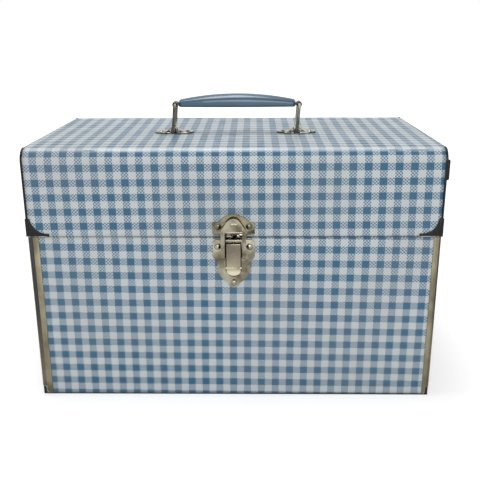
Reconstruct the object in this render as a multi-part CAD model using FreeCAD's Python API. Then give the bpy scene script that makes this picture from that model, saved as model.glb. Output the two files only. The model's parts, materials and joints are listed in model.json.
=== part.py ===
"""Sewing box with a hinged lid, two swing-out trays, a draw latch and a folding handle.

Millimetres. +Z up, +X to the right, the front faces -Y. The origin is the
middle of the underside. The model shows the box shut, with the handle raised.
"""
import FreeCAD, Part
import math
import os
from FreeCAD import Vector as V

# ---- overall ----
BOX_WIDTH = 300.0          # over the lid's end faces
BOX_DEPTH = 172.0          # front face to back face
LID_TOP = 192.0            # top of the shut lid
SPLIT_Z = 128.3            # middle of the gap between body and lid
RIM_GAP = 0.5              # gap between the two rims when shut
BODY_INSET = 0.8           # body's end faces, inside the lid's end faces
FRONT_RADIUS = 9.0         # outer radius of the lid's front top edge
BACK_RADIUS = 6.0          # outer radius of the lid's back top edge

# ---- sheet and board ----
BOARD = 4.0                # wood board
COVER = 0.6                # vinyl sheet glued over the boards
LINING = 0.5               # card lining under the lid's top
LINING_CLEARANCE = 1.0     # its edge to board and rail
PAD_THICKNESS = 5.0        # quilted pad on the body's floor
PAD_CLEARANCE = 1.0        # pad edge to board
RUN_FIT = 0.05             # radial clearance of every turning pin
SIDE_FIT = 0.1             # clearance beside every turning strip
MARGIN = 10.0              # how far a cutting tool runs past what it cuts

# ---- metal edging of the body ----
TRIM_SHEET = 0.7
TRIM_LEFT = (7.4, 2.9)     # left flange's inner and outer edge, from the end face
TRIM_RIGHT = (4.8, 2.0)    # the right flange is set narrower
TRIM_WEB_SHEET = 0.35      # thin groove between flange and bead
TRIM_SIDE_WIDTH = 9.0      # flange on the end face
TRIM_SIDE_SHEET = 0.35
BEAD_RADIUS = 0.75
BEAD_OFFSET = 0.6          # bead centre, inside the end face
BEAD_BOTTOM = 7.0          # bead and side flange stop short of the floor
TRIM_CHAMFER = 2.5

# ---- black edging and corner guards of the lid ----
EDGE_WIDTH = 1.6
EDGE_PROUD = 0.3
GUARD_SHEET = 0.5
GUARD_REACH = 16.8         # along the lid's lower edge, from the end face
GUARD_HEIGHT = 13.4        # up the lid's corner
GUARD_TIP = 2.3            # height of the tip
GUARD_TOP_WIDTH = 3.4      # width at the top of the corner
GUARD_BEND_ALONG = 7.2     # the curve's middle, from the corner
GUARD_BEND_UP = 5.4

# ---- hinges ----
HINGE_X = 95.0             # middle of each hinge
HINGE_WIDTH = 36.0
HINGE_LEAF = 1.0
HINGE_LEAF_HEIGHT = 12.5
HINGE_AXIS_OUT = 2.6       # axis behind the back face
KNUCKLE_RADIUS = 2.4
HINGE_PIN_RADIUS = 1.2
KNUCKLE_GAP = 0.3
LEAF_CLEARANCE = 0.4       # leaf edge to the other leaf's knuckles
LID_OPEN_DEG = 105.0

# ---- rivets ----
RIVET_SHANK = 1.2
RIVET_HEAD = 2.5
RIVET_DOME = 1.3
CLINCH_RADIUS = 2.2
CLINCH_THICKNESS = 0.6
SMALL_HEAD = 1.9
SMALL_DOME = 0.9

# ---- latch: heights are measured from the split ----
LATCH_SHEET = 1.0
LATCH_EAR_X = 15.3
STRIKE_BOTTOM = SPLIT_Z + 2.6
STRIKE_EAR_TOP = SPLIT_Z + 11.1
STRIKE_TOP = SPLIT_Z + 17.2
STRIKE_ARC_HALF = 10.7     # half the width of the plate's round top
STRIKE_RIVET_X = 11.2
STRIKE_RIVET_Z = SPLIT_Z + 8.3
NOSE_HALF_WIDTH = 4.6
NOSE_HEIGHT = 2.6
NOSE_CLEARANCE = 0.35      # nose to the back of the hasp
BASE_TOP = SPLIT_Z - 1.9
BASE_EAR_BOTTOM = SPLIT_Z - 14.8
BASE_NECK_X = 11.8
BASE_NECK_Z = SPLIT_Z - 19.3
BASE_BOSS_RADIUS = 4.3
BASE_RIVET_X = 11.6
BASE_RIVET_Z = SPLIT_Z - 7.0
BASE_BOSS_Z = SPLIT_Z - 34.7
BASE_EAR_CORNER = 2.0
BASE_WAIST_X = 10.9        # the shield's curved side, halfway down
BASE_WAIST_UP = 6.5        # and its height above the lower rivet
BASE_BOSS_START = 0.5      # the boss begins this far below the lower rivet
LEVER_PIVOT_OUT = 3.4      # lever axis in front of the base plate
LEVER_PIVOT_Z = SPLIT_Z - 5.5
LEVER_HALF_WIDTH = 5.7
LEVER_SHEET = 0.8
LEVER_TOP = SPLIT_Z - 3.9
LEVER_CREASE = SPLIT_Z - 21.4
LEVER_TIP = SPLIT_Z - 27.8
LEVER_TIP_ROUND = 4.0      # height of the rounded tip
LEVER_FRONT = 2.5          # lever's front face in front of its axis
LEVER_TAB_ANGLE = 12.0     # finger tab bent out
LEVER_FLANGE_BACK = 2.2
LEVER_FLANGE_BOTTOM = SPLIT_Z - 16.3
LEVER_ROUND = 2.2          # flange radius round the axis
LUG_SHEET = 1.0
LUG_GAP = 0.6              # lug to lever flange
LUG_RADIUS = 1.4
LUG_FOOT_TOP = 2.2         # lug's foot on the plate, below the axis
LUG_FOOT_BOTTOM = 5.0
LUG_JOIN_BACK = (0.85, 0.4)    # stem meets the lug here: outwards and down, in lug radii
LUG_JOIN_FRONT = (0.6, 0.75)
LATCH_PIN_RADIUS = 0.8
HASP_ROD_OUT = 2.6         # hasp rod in front of the base plate
HASP_ROD_Z = SPLIT_Z - 13.8
HASP_GAP = 0.6             # hasp arm to the lever's side
HASP_ARM_WIDTH = 2.8
HASP_SHEET = 0.8
HASP_FRONT = 3.2           # hasp's front face in front of its rod
HASP_CURL = 1.65
HASP_WINDOW_TOP = SPLIT_Z + 4.7
HASP_SHOULDER_Z = SPLIT_Z + 5.8
HASP_SHOULDER_X = 9.5
HASP_TOP = SPLIT_Z + 15.3
HASP_TOP_HALF = 3.6        # half the width of the arched top
HASP_TOP_RISE = 1.2        # rise of that arch
HASP_CORNER = 1.3          # cut corner beside the arch
HASP_ARM_TOP = 4.0         # arms run straight to this far below the window's top

# ---- handle ----
HANDLE_Y = -8.0
HANDLE_SPACING = 97.8      # between the two loops
HANDLE_LEAN = 1.6          # loop tops stand this far to the right
FOOT_LENGTH = 31.0
FOOT_WIDTH = 13.0
FOOT_SHEET = 1.2
FOOT_RIVET_X = 10.6
BRIDGE_WIDTH = 8.0
BRIDGE_SHEET = 1.2
LEG_GROOVE = 1.0           # groove in the foot, under the loop's legs
LOOP_FOOT_Z = 2.7          # lower bar above the lid
LOOP_TOP_Z = 22.5          # upper bar above the lid
LOOP_BAR = 1.25
LOOP_LEG_X = 2.5
LOOP_LEG_Y = 1.8
LOOP_LEG_GAP = 12.6        # inside, between the legs
CORE_WIDTH = 8.6
CORE_SHEET = 1.0
GRIP_END_GAP = 2.7         # grip end to the bar's centre
GRIP_BOTTOM = 1.9          # below the bar's centre
GRIP_END_TOP = 3.6         # above the bar's centre, at the ends
GRIP_MID_TOP = 8.4         # above the bar's centre, in the middle
GRIP_END_WIDTH = 9.6
GRIP_MID_WIDTH = 15.0

# ---- black plate on the lid's right end ----
PLATE_THICK = 2.8
PLATE_Z0 = LID_TOP - 22.9
PLATE_Z1 = LID_TOP - 8.2
PLATE_Y0 = 3.0 - BOX_DEPTH / 2
PLATE_LENGTH = 22.0
PLATE_CORNER = 1.5

# ---- trays ----
TRAY_WALL = 1.8
TRAY_END_GAP = 5.2         # tray end to board: room for arms and links
LOWER_FRONT_GAP = 5.4      # tray front to board
UPPER_FRONT_GAP = 7.4
LOWER_REAR_GAP = 30.6      # tray rear to the hinge axis
UPPER_REAR_GAP = 40.6
TRAY_LIFT = 5.2            # lower tray above the split
TRAY_TOP_GAP = 3.4         # upper tray to the lid's lining
TRAY_SPACE = 2.5           # between the trays
TRAY_CORNER = 6.0
DIVIDER = 1.2
DIVIDER_DROP = 2.0         # divider top below the tray's rim
DIVIDER_FIT = 0.15
LOWER_DIVIDERS = 3
UPPER_DIVIDERS = 5

# ---- arms ----
ARM_SHEET = 1.2
ARM_GAP = 1.3              # arm to tray end
ARM_HALF_WIDTH = 5.0
ARM_REST_DEG = 130.0       # from +Y, with the lid shut
ARM_PER_LID = 2.0 / 3.0    # arm turn per lid turn
ARM_SPACING = 50.0         # front pivot to rear pivot
REAR_PIVOT_AHEAD = 44.6    # rear pivot in front of the hinge axis
PIVOT_DROP = 22.3          # pivots below the split
PIN_ABOVE_TRAY = 4.8       # tray pin above the tray's underside
PIN_RADIUS = 2.0
PIN_SHANK = 1.6
PIN_HEAD = 3.3
PIN_HEAD_SHEET = 0.7
THIN_HEAD = 0.5            # heads where arms and links pass close by
LINK_HALF_WIDTH = 3.5
LINK_GAP = 0.6             # link to arm
LINK_ALONG = 22.0          # link's joint, along the rear arm
LINK_OFFSET = 3.8          # and to the arm's front side
LINK_LUG = 4.6             # radius of the arm's lug
LID_PIN_AHEAD = 14.6       # lid's link pin in front of the hinge axis
LID_PIN_RISE = 5.7         # and above the split
LINK_SLACK = 0.25          # beyond the pin's own track in the link
TRACK_STEPS = 21           # positions tried along the pin's track
EYE_WALL = 1.8             # metal round the link's oversize eye
EYE_LAP = 1.0              # lid pin's head beyond the eye

# ---- places worked out from the sizes above ----
LID_X = BOX_WIDTH / 2
BODY_X = LID_X - BODY_INSET
HALF_Y = BOX_DEPTH / 2
IN_X = BODY_X - COVER - BOARD
IN_Y = HALF_Y - COVER - BOARD
BODY_RIM = SPLIT_Z - RIM_GAP / 2
LID_RIM = SPLIT_Z + RIM_GAP / 2
LID_CEILING = LID_TOP - COVER - BOARD
HINGE_Y = HALF_Y + HINGE_AXIS_OUT
PLATE_FACE = -HALF_Y - LATCH_SHEET
LEVER_Y = PLATE_FACE - LEVER_PIVOT_OUT
ROD_Y = PLATE_FACE - HASP_ROD_OUT
LUG_OUT = LEVER_HALF_WIDTH - LEVER_SHEET - LUG_GAP
HASP_IN = LEVER_HALF_WIDTH + HASP_GAP
HASP_OUT = HASP_IN + HASP_ARM_WIDTH

TRAY_X = IN_X - TRAY_END_GAP
LOWER_Z = SPLIT_Z + TRAY_LIFT
TRAY_HEIGHT = (LID_CEILING - TRAY_TOP_GAP - TRAY_SPACE - LOWER_Z) / 2
UPPER_Z = LOWER_Z + TRAY_HEIGHT + TRAY_SPACE
REAR_PIVOT_Y = HINGE_Y - REAR_PIVOT_AHEAD
FRONT_PIVOT_Y = REAR_PIVOT_Y - ARM_SPACING
PIVOT_Z = SPLIT_Z - PIVOT_DROP
ARM_REST = math.radians(ARM_REST_DEG)
LOWER_PIN_REACH = (LOWER_Z + PIN_ABOVE_TRAY - PIVOT_Z) / math.sin(ARM_REST)
UPPER_PIN_REACH = (UPPER_Z + PIN_ABOVE_TRAY - PIVOT_Z) / math.sin(ARM_REST)
ARM_X0 = TRAY_X + ARM_GAP
ARM_X1 = ARM_X0 + ARM_SHEET
LINK_X0 = ARM_X1 + LINK_GAP
LINK_X1 = LINK_X0 + ARM_SHEET
LID_PIN = (HINGE_Y - LID_PIN_AHEAD, SPLIT_Z + LID_PIN_RISE)

nodes = {}


# ---- small shape helpers ----
def box(x0, x1, y0, y1, z0, z1):
    return Part.makeBox(x1 - x0, y1 - y0, z1 - z0, V(x0, y0, z0))


def cyl_x(radius, x0, x1, y, z):
    return Part.makeCylinder(radius, x1 - x0, V(x0, y, z), V(1, 0, 0))


def cyl_y(radius, y0, y1, x, z):
    return Part.makeCylinder(radius, y1 - y0, V(x, y0, z), V(0, 1, 0))


def cyl_z(radius, z0, z1, x, y):
    return Part.makeCylinder(radius, z1 - z0, V(x, y, z0), V(0, 0, 1))


def on_xz(y):
    """Turns (x, z) into a point of the plane at this y."""
    return lambda a, b: V(a, y, b)


def on_yz(x):
    """Turns (y, z) into a point of the plane at this x."""
    return lambda a, b: V(x, a, b)


def on_xy(z):
    """Turns (x, y) into a point of the plane at this z."""
    return lambda a, b: V(a, b, z)


def face(place, start, steps):
    """A flat face. A step is a corner (a, b), or an arc (mid_a, mid_b, end_a, end_b)."""
    edges = []
    here = place(*start)
    for step in steps + [start]:
        if len(step) == 4:
            middle = place(*step[:2])
            end = place(*step[2:])
            edges.append(Part.Arc(here, middle, end).toShape())
        else:
            end = place(*step)
            if end.distanceToPoint(here) < 1e-6:
                continue
            edges.append(Part.LineSegment(here, end).toShape())
        here = end
    return Part.Face(Part.Wire(edges))


def arc_step(centre, radius, deg0, deg1):
    """The arc step that goes round this centre from one angle to another."""
    middle = math.radians((deg0 + deg1) / 2)
    last = math.radians(deg1)
    return (centre[0] + radius * math.cos(middle), centre[1] + radius * math.sin(middle),
            centre[0] + radius * math.cos(last), centre[1] + radius * math.sin(last))


def strip(place_x0, place_x1, points, half_width):
    """A flat bar with round ends through two points of the YZ plane."""
    (ya, za), (yb, zb) = points
    turn = math.degrees(math.atan2(zb - za, yb - ya))
    side = math.radians(turn + 90)
    start = (ya + half_width * math.cos(side), za + half_width * math.sin(side))
    steps = [arc_step((ya, za), half_width, turn + 90, turn + 270)]
    steps.append((yb - half_width * math.cos(side), zb - half_width * math.sin(side)))
    steps.append(arc_step((yb, zb), half_width, turn - 90, turn + 90))
    return face(on_yz(place_x0), start, steps).extrude(V(place_x1 - place_x0, 0, 0))


def mirror_x(shape):
    return shape.mirror(V(0, 0, 0), V(1, 0, 0))


def mirror_y(shape):
    return shape.mirror(V(0, 0, 0), V(0, 1, 0))


def fuse(first, *others):
    for other in others:
        first = first.fuse(other)
    return first.removeSplitter()


def cut(shape, *tools):
    for tool in tools:
        shape = shape.cut(tool)
    return shape


def both_sides(name, shape):
    """Adds a right-hand piece and its left-hand mirror image."""
    nodes[name + "_right"] = shape
    nodes[name + "_left"] = mirror_x(shape)


def pair(name, shape):
    """Adds a right-hand piece and its mirror image as one node of two solids."""
    nodes[name] = Part.makeCompound([shape, mirror_x(shape)])


def rivet(foot, outward, grip, head=RIVET_HEAD, dome=RIVET_DOME):
    """A domed rivet: foot is on the outer face, grip is what it holds together."""
    sphere = (head * head + dome * dome) / (2 * dome)
    reach = math.asin(min(1.0, head / sphere)) / 2
    middle = (sphere * math.sin(reach), dome - sphere + sphere * math.cos(reach))
    base = -grip - CLINCH_THICKNESS
    place = on_xz(0)
    profile = face(place, (0, base), [
        (CLINCH_RADIUS, base), (CLINCH_RADIUS, -grip), (RIVET_SHANK, -grip),
        (RIVET_SHANK, 0), (head, 0), middle + (0, dome)])
    solid = profile.revolve(V(0, 0, 0), V(0, 0, 1), 360)
    solid = Part.Solid(solid.Shells[0]) if solid.ShapeType != "Solid" else solid
    solid.Placement = FreeCAD.Placement(V(*foot), FreeCAD.Rotation(V(0, 0, 1), V(*outward)))
    return solid


def drill(names, tools):
    """Takes holes for these rivets out of the nodes they pass through."""
    for name in names:
        nodes[name] = cut(nodes[name], *tools)


# ---- body: boards, vinyl and metal edging ----
def make_body():
    side = box(IN_X, BODY_X - COVER, -HALF_Y + COVER, HALF_Y - COVER, COVER, BODY_RIM)
    both_sides("body_end_board", side)
    front = box(-IN_X, IN_X, -HALF_Y + COVER, -IN_Y, COVER, BODY_RIM)
    nodes["body_front_board"] = front
    nodes["body_back_board"] = mirror_y(front)
    nodes["body_floor_board"] = box(-IN_X, IN_X, -IN_Y, IN_Y, COVER, COVER + BOARD)
    nodes["base_cover"] = box(-BODY_X, BODY_X, -HALF_Y, HALF_Y, 0, COVER)
    sheet = box(-BODY_X, BODY_X, -HALF_Y, -HALF_Y + COVER, COVER, BODY_RIM)
    nodes["body_front_cover"] = sheet
    nodes["body_back_cover"] = mirror_y(sheet)
    end = box(BODY_X - COVER, BODY_X, -HALF_Y + COVER, HALF_Y - COVER, COVER, BODY_RIM)
    pair("body_end_covers", end)
    pad_x = IN_X - PAD_CLEARANCE
    pad_y = IN_Y - PAD_CLEARANCE
    floor = COVER + BOARD
    nodes["floor_pad"] = box(-pad_x, pad_x, -pad_y, pad_y, floor, floor + PAD_THICKNESS)


def corner_edging(inner, outer):
    """Front right edging: flat flange, thin groove, round bead and side flange."""
    face_y = -HALF_Y
    flange_x1 = BODY_X - outer
    flange_x0 = BODY_X - inner
    flange = box(flange_x0, flange_x1, face_y - TRIM_SHEET, face_y, COVER, BODY_RIM)
    chamfer = face(on_xz(face_y - MARGIN), (flange_x1 - TRIM_CHAMFER, COVER), [
        (flange_x1, COVER), (flange_x1, COVER + TRIM_CHAMFER)]).extrude(V(0, 2 * MARGIN, 0))
    flange = cut(flange, chamfer)
    web = box(flange_x1, BODY_X, face_y - TRIM_WEB_SHEET, face_y, BEAD_BOTTOM, BODY_RIM)
    bead = cyl_z(BEAD_RADIUS, BEAD_BOTTOM, BODY_RIM, BODY_X - BEAD_OFFSET, face_y)
    side = box(BODY_X, BODY_X + TRIM_SIDE_SHEET, face_y, face_y + TRIM_SIDE_WIDTH, BEAD_BOTTOM, BODY_RIM)
    body = box(0, BODY_X, face_y, HALF_Y, 0, SPLIT_Z)
    slope = face(on_yz(BODY_X), (face_y, BEAD_BOTTOM), [
        (face_y + TRIM_SIDE_WIDTH, BEAD_BOTTOM),
        (face_y + TRIM_SIDE_WIDTH, BEAD_BOTTOM + TRIM_SIDE_WIDTH / 2)]).extrude(V(MARGIN, 0, 0))
    return cut(fuse(flange, web, bead, side), body, slope)


def make_edging():
    """Each corner's edging, with the left and the right flange as wide as they are set."""
    left = mirror_x(corner_edging(*TRIM_LEFT))
    right = corner_edging(*TRIM_RIGHT)
    nodes["edging_front"] = Part.makeCompound([left, right])
    nodes["edging_back"] = Part.makeCompound([mirror_y(left), mirror_y(right)])


# ---- lid: boards, vinyl, edging, corner guards ----
def lid_profile(inset, x):
    """The lid's outline seen from the end, drawn this far inside its outer face."""
    y_front = -HALF_Y + inset
    y_back = HALF_Y - inset
    top = LID_TOP - inset
    front = (-HALF_Y + FRONT_RADIUS, LID_TOP - FRONT_RADIUS)
    back = (HALF_Y - BACK_RADIUS, LID_TOP - BACK_RADIUS)
    return face(on_yz(x), (y_front, LID_RIM), [
        (y_front, front[1]),
        arc_step(front, FRONT_RADIUS - inset, 180, 90),
        (back[0], top),
        arc_step(back, BACK_RADIUS - inset, 90, 0),
        (y_back, LID_RIM)])


def lid_shell(outer, inner, x0, x1):
    """The layer between two insets of the lid's outline, open at the bottom."""
    whole = lid_profile(outer, x0).extrude(V(x1 - x0, 0, 0))
    hollow = lid_profile(inner, x0).extrude(V(x1 - x0, 0, 0))
    return whole.cut(hollow)


def rail(centre, radius, deg0, deg1):
    """A quarter-round wooden rail along the lid, between its end boards."""
    start = arc_step(centre, radius, deg0, deg0)[2:]
    quarter = face(on_yz(-IN_X), start, [arc_step(centre, radius, deg0, deg1), centre])
    return quarter.extrude(V(2 * IN_X, 0, 0))


def make_lid():
    end = lid_profile(COVER, IN_X).extrude(V(LID_X - COVER - IN_X, 0, 0))
    both_sides("lid_end_board", end)
    front_y = -HALF_Y + FRONT_RADIUS
    back_y = HALF_Y - BACK_RADIUS
    nodes["lid_top_board"] = box(-IN_X, IN_X, front_y, back_y, LID_CEILING, LID_TOP - COVER)
    nodes["lid_front_board"] = box(-IN_X, IN_X, -HALF_Y + COVER, -IN_Y, LID_RIM, LID_TOP - FRONT_RADIUS)
    nodes["lid_back_board"] = box(-IN_X, IN_X, IN_Y, HALF_Y - COVER, LID_RIM, LID_TOP - BACK_RADIUS)
    front_centre = (front_y, LID_TOP - FRONT_RADIUS)
    back_centre = (back_y, LID_TOP - BACK_RADIUS)
    nodes["lid_front_rail"] = rail(front_centre, FRONT_RADIUS - COVER, 180, 90)
    nodes["lid_back_rail"] = rail(back_centre, BACK_RADIUS - COVER, 90, 0)
    lining_z = LID_CEILING - LINING
    lining_x = IN_X - LINING_CLEARANCE
    nodes["lid_lining"] = box(-lining_x, lining_x, front_y + LINING_CLEARANCE,
                              back_y - LINING_CLEARANCE, lining_z, LID_CEILING)
    sheet_x = LID_X - EDGE_WIDTH
    around = lid_shell(0, COVER, -sheet_x, sheet_x)
    over = box(-LID_X, LID_X, front_y, back_y, LID_TOP - COVER, LID_TOP)
    nodes["lid_cover"] = fuse(around, over)
    pair("lid_end_covers", lid_profile(COVER, LID_X - COVER).extrude(V(COVER, 0, 0)))


def make_lid_edging():
    whole = lid_shell(-EDGE_PROUD, COVER, LID_X - EDGE_WIDTH, LID_X)
    front_y = -HALF_Y + FRONT_RADIUS
    back_y = HALF_Y - BACK_RADIUS
    middle = box(0, LID_X + MARGIN, front_y, back_y, 0, LID_TOP + MARGIN)
    edging = whole.cut(middle)
    nodes["lid_edging"] = Part.makeCompound(edging.Solids + mirror_x(edging).Solids)


def guard_outline(place, corner, sign):
    """The guard's curved outline, drawn from the corner in one face's plane."""
    tip = corner - sign * GUARD_REACH
    narrow = corner - sign * GUARD_TOP_WIDTH
    low = LID_RIM + GUARD_TIP
    high = LID_RIM + GUARD_HEIGHT
    bend = (corner - sign * GUARD_BEND_ALONG, LID_RIM + GUARD_BEND_UP)
    return face(place, (corner, LID_RIM), [
        (corner, high), (narrow, high), bend + (tip, low), (tip, LID_RIM)])


def make_guards():
    front_y = -HALF_Y - EDGE_PROUD - GUARD_SHEET
    out_x = LID_X + GUARD_SHEET
    front = guard_outline(on_xz(front_y), out_x, 1).extrude(V(0, EDGE_PROUD + GUARD_SHEET, 0))
    side = guard_outline(on_yz(LID_X), front_y, -1).extrude(V(GUARD_SHEET, 0, 0))
    guard = cut(fuse(front, side), nodes["lid_edging"])
    pair("corner_guards_front", guard)
    pair("corner_guards_back", mirror_y(guard))


def make_side_plate():
    """A black plate on the right end only."""
    plate = box(LID_X, LID_X + PLATE_THICK, PLATE_Y0, PLATE_Y0 + PLATE_LENGTH, PLATE_Z0, PLATE_Z1)
    outer = [e for e in plate.Edges if min(v.X for v in e.Vertexes) > LID_X + PLATE_THICK / 2]
    nodes["side_plate"] = plate.makeFillet(PLATE_CORNER, outer)
    middle_z = (PLATE_Z0 + PLATE_Z1) / 2
    spots = (PLATE_Y0 + PLATE_LENGTH / 4, PLATE_Y0 + PLATE_LENGTH * 3 / 4)
    grip = LID_X + PLATE_THICK - IN_X
    rivets = [rivet((LID_X + PLATE_THICK, y, middle_z), (1, 0, 0), grip, SMALL_HEAD, SMALL_DOME)
              for y in spots]
    nodes["side_plate_rivets"] = Part.makeCompound(rivets)
    drill(("side_plate", "lid_end_covers", "lid_end_board_right"), rivets)


# ---- hinges ----
def knuckle(x0, x1):
    return cyl_x(KNUCKLE_RADIUS, x0, x1, HINGE_Y, SPLIT_Z)


def hinge_leaf(centre, lower):
    """One leaf with its knuckles: two outer ones below, one middle one above."""
    half = HINGE_WIDTH / 2
    third = HINGE_WIDTH / 6
    start = KNUCKLE_RADIUS + LEAF_CLEARANCE
    if lower:
        z0, z1 = SPLIT_Z - start - HINGE_LEAF_HEIGHT, SPLIT_Z - start
        spans = [(-half, -third - KNUCKLE_GAP / 2), (third + KNUCKLE_GAP / 2, half)]
        arm_z = (z1, SPLIT_Z)
    else:
        z0, z1 = SPLIT_Z + start, SPLIT_Z + start + HINGE_LEAF_HEIGHT
        spans = [(-third + KNUCKLE_GAP / 2, third - KNUCKLE_GAP / 2)]
        arm_z = (SPLIT_Z, z0)
    pieces = [box(centre - half, centre + half, HALF_Y, HALF_Y + HINGE_LEAF, z0, z1)]
    for x0, x1 in spans:
        pieces.append(box(centre + x0, centre + x1, HALF_Y, HALF_Y + HINGE_LEAF, *arm_z))
        pieces.append(knuckle(centre + x0, centre + x1))
    bore = cyl_x(HINGE_PIN_RADIUS + RUN_FIT, centre - half, centre + half, HINGE_Y, SPLIT_Z)
    return cut(fuse(*pieces), bore)


def make_hinges():
    centres = (-HINGE_X, HINGE_X)
    nodes["hinge_leaves_body"] = Part.makeCompound([hinge_leaf(x, True) for x in centres])
    nodes["hinge_leaves_lid"] = Part.makeCompound([hinge_leaf(x, False) for x in centres])
    half = HINGE_WIDTH / 2
    pins = [cyl_x(HINGE_PIN_RADIUS, x - half, x + half, HINGE_Y, SPLIT_Z) for x in centres]
    nodes["hinge_pins"] = Part.makeCompound(pins)
    middle = KNUCKLE_RADIUS + LEAF_CLEARANCE + HINGE_LEAF_HEIGHT / 2
    grip = HINGE_LEAF + COVER + BOARD
    for part, cover, z in (("body", "body_back_cover", SPLIT_Z - middle),
                           ("lid", "lid_cover", SPLIT_Z + middle)):
        spots = [(x + side * HINGE_WIDTH / 3, HALF_Y + HINGE_LEAF, z)
                 for x in centres for side in (-1, 1)]
        rivets = [rivet(spot, (0, 1, 0), grip, SMALL_HEAD, SMALL_DOME) for spot in spots]
        nodes["hinge_rivets_" + part] = Part.makeCompound(rivets)
        drill(("hinge_leaves_" + part, cover, part + "_back_board"), rivets)


# ---- latch ----
def make_strike():
    """The lid's half of the latch: a riveted plate with a nose behind the hasp."""
    ear = LATCH_EAR_X
    shoulder = STRIKE_ARC_HALF
    outline = face(on_xz(PLATE_FACE), (-ear, STRIKE_BOTTOM), [
        (-ear, STRIKE_EAR_TOP), (-shoulder, STRIKE_EAR_TOP),
        (0, STRIKE_TOP, shoulder, STRIKE_EAR_TOP),
        (ear, STRIKE_EAR_TOP), (ear, STRIKE_BOTTOM)])
    plate = outline.extrude(V(0, LATCH_SHEET, 0))
    hasp_back = ROD_Y - HASP_FRONT + HASP_SHEET
    nose = box(-NOSE_HALF_WIDTH, NOSE_HALF_WIDTH, hasp_back + NOSE_CLEARANCE, PLATE_FACE,
               STRIKE_BOTTOM, STRIKE_BOTTOM + NOSE_HEIGHT)
    nodes["strike_plate"] = fuse(plate, nose)
    grip = LATCH_SHEET + COVER + BOARD
    rivets = [rivet((side * STRIKE_RIVET_X, PLATE_FACE, STRIKE_RIVET_Z), (0, -1, 0), grip)
              for side in (-1, 1)]
    nodes["strike_rivets"] = Part.makeCompound(rivets)
    drill(("strike_plate", "lid_cover", "lid_front_board"), rivets)


def make_latch_base():
    """The body's half: a shield-shaped plate with two lugs that carry the lever."""
    ear = LATCH_EAR_X
    low = BASE_BOSS_Z - BASE_BOSS_RADIUS
    round_z = BASE_TOP - BASE_EAR_CORNER
    round_x = ear - BASE_EAR_CORNER
    waist = BASE_BOSS_Z + BASE_WAIST_UP
    boss = BASE_BOSS_Z - BASE_BOSS_START
    outline = face(on_xz(PLATE_FACE), (-ear, round_z), [
        (-round_x, BASE_TOP), (round_x, BASE_TOP), (ear, round_z),
        (ear, BASE_EAR_BOTTOM), (BASE_NECK_X, BASE_NECK_Z),
        (BASE_WAIST_X, waist, BASE_BOSS_RADIUS, boss),
        (0, low, -BASE_BOSS_RADIUS, boss),
        (-BASE_WAIST_X, waist, -BASE_NECK_X, BASE_NECK_Z),
        (-ear, BASE_EAR_BOTTOM)])
    pieces = [outline.extrude(V(0, LATCH_SHEET, 0))]
    for x0 in (-LUG_OUT, LUG_OUT - LUG_SHEET):
        stem = face(on_yz(x0), (LEVER_Y, LEVER_PIVOT_Z), [
            (LEVER_Y + LUG_JOIN_BACK[0] * LUG_RADIUS, LEVER_PIVOT_Z - LUG_JOIN_BACK[1] * LUG_RADIUS),
            (PLATE_FACE, LEVER_PIVOT_Z - LUG_FOOT_TOP),
            (PLATE_FACE, LEVER_PIVOT_Z - LUG_FOOT_BOTTOM),
            (LEVER_Y - LUG_JOIN_FRONT[0] * LUG_RADIUS, LEVER_PIVOT_Z - LUG_JOIN_FRONT[1] * LUG_RADIUS)])
        pieces.append(stem.extrude(V(LUG_SHEET, 0, 0)))
        pieces.append(cyl_x(LUG_RADIUS, x0, x0 + LUG_SHEET, LEVER_Y, LEVER_PIVOT_Z))
    pin = cyl_x(LATCH_PIN_RADIUS, -LEVER_HALF_WIDTH, LEVER_HALF_WIDTH, LEVER_Y, LEVER_PIVOT_Z)
    nodes["latch_base"] = cut(fuse(*pieces), pin)
    nodes["lever_pin"] = pin
    grip = LATCH_SHEET + COVER + BOARD
    spots = [(-BASE_RIVET_X, BASE_RIVET_Z), (BASE_RIVET_X, BASE_RIVET_Z), (0, BASE_BOSS_Z)]
    rivets = [rivet((x, PLATE_FACE, z), (0, -1, 0), grip) for x, z in spots]
    nodes["latch_base_rivets"] = Part.makeCompound(rivets)
    drill(("latch_base", "body_front_cover", "body_front_board"), rivets)


def make_lever():
    """A channel: front plate, two side flanges and a finger tab bent outwards."""
    half = LEVER_HALF_WIDTH
    front = LEVER_Y - LEVER_FRONT
    plate = box(-half, half, front, front + LEVER_SHEET, LEVER_CREASE, LEVER_TOP)
    tip = face(on_xz(front), (-half, LEVER_CREASE), [
        (-half, LEVER_TIP + LEVER_TIP_ROUND),
        (0, LEVER_TIP, half, LEVER_TIP + LEVER_TIP_ROUND),
        (half, LEVER_CREASE)]).extrude(V(0, LEVER_SHEET, 0))
    tip.rotate(V(0, front + LEVER_SHEET, LEVER_CREASE), V(-1, 0, 0), LEVER_TAB_ANGLE)
    pieces = [plate, tip]
    for x0 in (-half, half - LEVER_SHEET):
        flange = box(x0, x0 + LEVER_SHEET, front, LEVER_Y + LEVER_FLANGE_BACK,
                     LEVER_FLANGE_BOTTOM, LEVER_PIVOT_Z)
        pieces.append(flange)
        pieces.append(cyl_x(LEVER_ROUND, x0, x0 + LEVER_SHEET, LEVER_Y, LEVER_PIVOT_Z))
    bore = cyl_x(LATCH_PIN_RADIUS + RUN_FIT, -half, half, LEVER_Y, LEVER_PIVOT_Z)
    rod = cyl_x(LATCH_PIN_RADIUS, -HASP_OUT, HASP_OUT, ROD_Y, HASP_ROD_Z)
    nodes["latch_lever"] = cut(fuse(*pieces), bore, rod)
    nodes["hasp_rod"] = rod


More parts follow.
